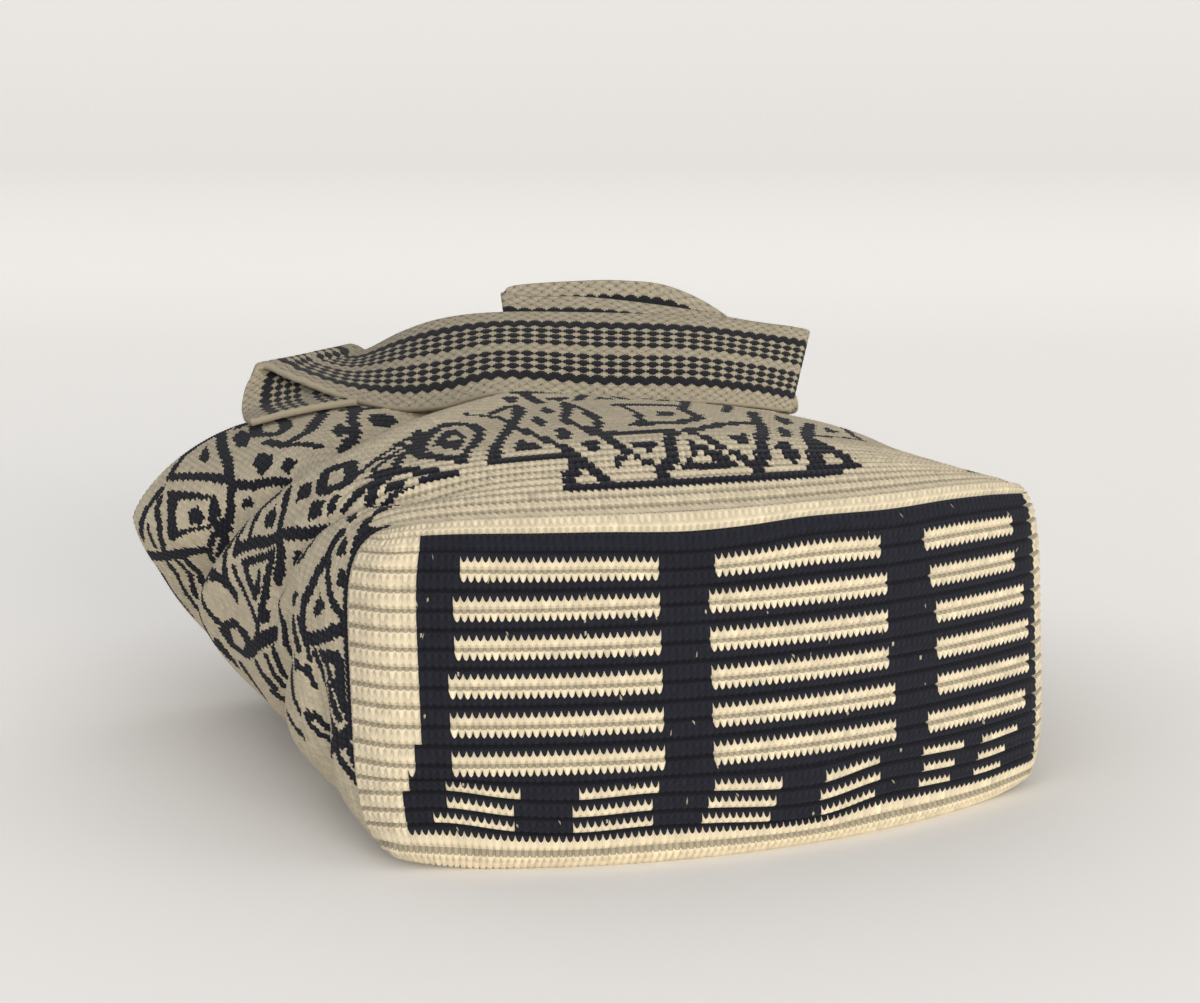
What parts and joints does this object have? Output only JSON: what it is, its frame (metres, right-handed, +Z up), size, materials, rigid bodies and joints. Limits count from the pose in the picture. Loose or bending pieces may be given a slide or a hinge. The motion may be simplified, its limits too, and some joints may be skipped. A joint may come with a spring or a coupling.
{
  "type": "tote bag",
  "caption": "Soft crocheted tote bag lying on its broad side, with a flat striped base panel, a slack patterned body open at the mouth and a woven shoulder strap folded on top.",
  "frame": {"origin": "Middle of the bounding box, on the floor the bag lies on.", "axes": "+X runs along the broad base panel from left to right, +Y from the base panel to the mouth, +Z up from the floor."},
  "size_m": [0.4158, 0.3786, 0.2173],
  "materials": {
    "base_fabric": "thick crocheted yarn in navy with cream stripes, matte",
    "body_fabric": "thick crocheted yarn in navy and cream, matte",
    "strap_fabric": "woven band in navy and cream, matte"
  },
  "bodies": {
    "root": {"base_panel": "base_fabric", "body": "body_fabric", "shoulder_strap": "strap_fabric"}
  },
  "joints": []
}
